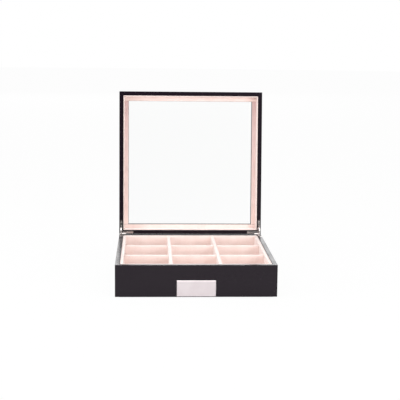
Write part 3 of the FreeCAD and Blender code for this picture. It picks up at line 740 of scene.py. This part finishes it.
screws = []
for side in ("left", "right"):
    spots, seat = screw_spots(side)
    one = screw_rings()
    turns = (0.3, 1.1)
    base_parts = [place_screw(one, spot, seat, turn, True) for spot, turn in zip(spots, turns)]
    lid_parts = [turned_open(place_screw(one, s, LID_RIM, 0.8 - t, False)) for s, t in zip(spots, turns)]
    for label, parts, body in (("base", base_parts, "base"), ("lid", lid_parts, "lid")):
        piece = join_pieces("%s_%s_screws" % (side, label), parts, body)
        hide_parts("%s_hinge_%s_screws" % (side, label))
        screws.append(piece)
print("screws", [len(piece.data.polygons) for piece in screws])

# %% [markdown]
# ## Black lacquer
# Satin lacquer over board is nearly black, and what it shows is mostly what it mirrors. Up close it has a
# faint orange-peel ripple from the spray gun, a slightly uneven gloss, and arrises that have rubbed a
# little paler. A bevel node softens the machined edges, as a coat of lacquer does.

# %% Lacquer


def lacquer_material():
    """Near-black satin lacquer with ripple, uneven gloss and rubbed edges."""
    material, tree = new_material("black_satin_lacquer")
    place = place_of(tree)
    ripple = noise(tree, place, 420, 2)
    haze = noise(tree, place, 14, 4)
    dust = noise(tree, place, 2600, 2)
    soft_edge = add(tree, "Bevel", {"Radius": 0.0007}, samples=4).outputs[0]
    true_face = add(tree, "NewGeometry").outputs["Normal"]
    turned = add(tree, "VectorMath", {0: soft_edge, 1: true_face}, operation="DOT_PRODUCT").outputs["Value"]
    worn = spread(tree, turned, 1.0, 0.0, 0.82, 0.995)
    rubbed = times(tree, worn, spread(tree, haze, 0.2, 1.0, 0.4, 0.6))
    colour = blend_colours(tree, rubbed, [(0.0, (0.0065, 0.0022, 0.0065)), (1.0, (0.02, 0.016, 0.02))])
    gloss = times(tree, spread(tree, haze, 0.22, 0.29), spread(tree, dust, -0.01, 0.015), "ADD")
    values = {
        "Base Color": colour,
        "Roughness": gloss,
        "IOR": 1.42,
        "Specular IOR Level": 0.42,
        "Normal": bumps(tree, ripple, 0.00002, 0.35, soft_edge),
    }
    finish_principled(tree, values)
    return material


lacquer = lacquer_material()
print(lacquer.name)

# %% [markdown]
# ## Suede
# Suede is a mat of very short fibres. They scatter light to a pale rim at a glancing angle, which the
# sheen lobe gives, and brushing them this way and that leaves soft lighter and darker patches a centimetre
# or two wide, over a finer mottle of two or three millimetres. The nap itself is a grain of about a third
# of a millimetre, in colour and in height.

# %% Suede


def suede_material():
    """Pale pink suede: nap, brushed patches, sheen, and a painted shade on the lid's upright strips."""
    material, tree = new_material("pale_pink_suede")
    place = place_of(tree)
    nap_grain_and_painted_shade = noise(tree, place, 2800, 5, 0.7)
    fibres = noise(tree, place_of(tree, (1, 2.4, 1)), 1300, 4, 0.65)
    brushed = noise(tree, place, 55, 3, 0.5)
    mottle = noise(tree, place, 420, 3, 0.6)
    fine = times(tree, times(tree, nap_grain_and_painted_shade, 0.3), times(tree, fibres, 0.2), "ADD")
    coarse = times(tree, times(tree, mottle, 0.2), times(tree, brushed, 0.3), "ADD")
    tone = times(tree, fine, coarse, "ADD")
    colour = blend_colours(
        tree,
        tone,
        [(0.36, (0.83, 0.67, 0.625)), (0.5, (0.91, 0.757, 0.712)), (0.64, (0.95, 0.82, 0.78))],
    )
    # Painted shade: darkens the lid's upright strips towards their far end.
    painted_far_end_shade = add(tree, "Attribute", attribute_name="painted_far_end_shade").outputs["Fac"]
    colour = mix_colours(tree, painted_far_end_shade, colour, (0.76, 0.67, 0.7, 1), "MULTIPLY")
    fuzz = times(tree, times(tree, nap_grain_and_painted_shade, 0.6), times(tree, fibres, 0.4), "ADD")
    values = {
        "Base Color": colour,
        "Roughness": spread(tree, fuzz, 0.85, 1.0),
        "Specular IOR Level": 0.15,
        "Sheen Weight": 0.7,
        "Sheen Roughness": 0.4,
        "Sheen Tint": (1.0, 0.98, 0.97, 1),
        "Normal": bumps(tree, fuzz, 0.0003, 0.7, bumps(tree, brushed, 0.0008, 0.35)),
    }
    finish_principled(tree, values)
    return material


suede = suede_material()
for piece in soft_pieces:
    piece.data.materials.append(suede)
print(suede.name, "on", len(soft_pieces), "pieces")

# %% [markdown]
# ## Glass
# The pane is clear float glass, three millimetres thick. Rays that only look for a lamp pass straight
# through, because bending each of them would cost much time and leave the same soft light.

# %% Glass


def glass_material():
    """Clear glass with a trace of dust."""
    material, tree = new_material("clear_glass")
    specks = noise(tree, place_of(tree), 300, 5, 0.7)
    glass = add(
        tree,
        "BsdfPrincipled",
        {
            "Base Color": (0.995, 1.0, 0.998, 1),
            "Roughness": spread(tree, specks, 0.0, 0.02, 0.6, 0.8),
            "IOR": 1.4,
            "Transmission Weight": 1.0,
        },
    )
    clear = add(tree, "BsdfTransparent", {"Color": (0.96, 0.97, 0.965, 1)})
    shadow = add(tree, "LightPath").outputs["Is Shadow Ray"]
    finish_material(tree, add(tree, "MixShader", {0: shadow, 1: glass.outputs[0], 2: clear.outputs[0]}))
    return material


glass = glass_material()
print(glass.name)

# %% [markdown]
# ## Metals
# The plate is taken for metal brushed lengthwise, because it looks pale and silky in the picture. Noise
# stretched along X gives its long fine scratches.

# %% Plate metal


def plate_material():
    """Pale brushed metal: long fine scratches along X in gloss, height and colour."""
    material, tree = new_material("brushed_plate")
    scratches = noise(tree, place_of(tree, (0.02, 1, 1)), 5200, 4, 0.6)
    clouds = noise(tree, place_of(tree), 60, 3)
    colour = blend_colours(tree, clouds, [(0.3, (0.88, 0.79, 0.81)), (0.7, (0.93, 0.85, 0.865))])
    values = {
        "Base Color": colour,
        "Metallic": 1.0,
        "Roughness": spread(tree, scratches, 0.3, 0.42),
        "Normal": bumps(tree, scratches, 0.00001, 0.4),
    }
    finish_principled(tree, values)
    return material


plate = plate_material()
print(plate.name)

# %% [markdown]
# The hinges are taken for polished nickel, with the fine swirls that a buffing wheel leaves and a little
# tarnish. Both are noise again, one of them stretched.

# %% Nickel


def nickel_material():
    """Polished nickel with buffing swirls and a little tarnish in patches."""
    material, tree = new_material("polished_nickel")
    swirls = noise(tree, place_of(tree, (1, 0.25, 1)), 3600, 4, 0.6)
    tarnish = noise(tree, place_of(tree), 260, 4)
    colour = blend_colours(tree, tarnish, [(0.35, (0.58, 0.53, 0.51)), (0.6, (0.84, 0.79, 0.78))])
    values = {
        "Base Color": colour,
        "Metallic": 1.0,
        "Roughness": spread(tree, swirls, 0.06, 0.14),
        "Normal": bumps(tree, swirls, 0.000006, 0.5),
    }
    finish_principled(tree, values)
    return material


nickel = nickel_material()
for piece in screws:
    piece.data.materials.append(nickel)
print(nickel.name)

# %% [markdown]
# ## Felt and sealed board
# The underside is seen only when the box is lifted, and it is finished all the same: matted black felt,
# whose fibres catch a little light, and a sealed black board round its edge.

# %% Felt and board


def felt_material():
    """Black felt: matted fibres in height and colour, with a pale sheen."""
    material, tree = new_material("black_felt")
    mat = noise(tree, place_of(tree), 1500, 6, 0.75)
    strands = noise(tree, place_of(tree, (1, 3, 1)), 700, 5, 0.7)
    fibre = times(tree, times(tree, mat, 0.6), times(tree, strands, 0.4), "ADD")
    colour = blend_colours(tree, fibre, [(0.35, (0.008, 0.008, 0.009)), (0.65, (0.03, 0.03, 0.032))])
    values = {
        "Base Color": colour,
        "Roughness": spread(tree, fibre, 0.88, 1.0),
        "Sheen Weight": 0.4,
        "Sheen Roughness": 0.5,
        "Normal": bumps(tree, fibre, 0.0005, 0.7),
    }
    finish_principled(tree, values)
    return material


def board_material():
    """Sealed black fibreboard: a fine pressed grain under a thin coat."""
    material, tree = new_material("sealed_board")
    chips = noise(tree, place_of(tree), 900, 4, 0.65)
    colour = blend_colours(tree, chips, [(0.3, (0.012, 0.011, 0.011)), (0.7, (0.022, 0.02, 0.02))])
    values = {
        "Base Color": colour,
        "Roughness": spread(tree, chips, 0.45, 0.62),
        "Normal": bumps(tree, chips, 0.00008, 0.4),
    }
    finish_principled(tree, values)
    return material


felt_cloth = felt_material()
felt.data.materials.append(felt_cloth)
sealed_board = board_material()
print(felt_cloth.name, sealed_board.name)

# %% [markdown]
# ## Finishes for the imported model
# The hard pieces keep their own meshes. The record names a material slot for each of them, so one table
# from slot to finish dresses them all.

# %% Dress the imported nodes
FINISHES = {
    "black_lacquer": lacquer,
    "suede": suede,
    "glass": glass,
    "plate_metal": plate,
    "hinge_metal": nickel,
    "bottom_board": sealed_board,
    "felt": felt_cloth,
}
for part in frame["record"]["subparts"]:
    thing = nodes[part["node"]]
    for holder in thing.material_slots:
        holder.material = FINISHES[part["material_slot"]]
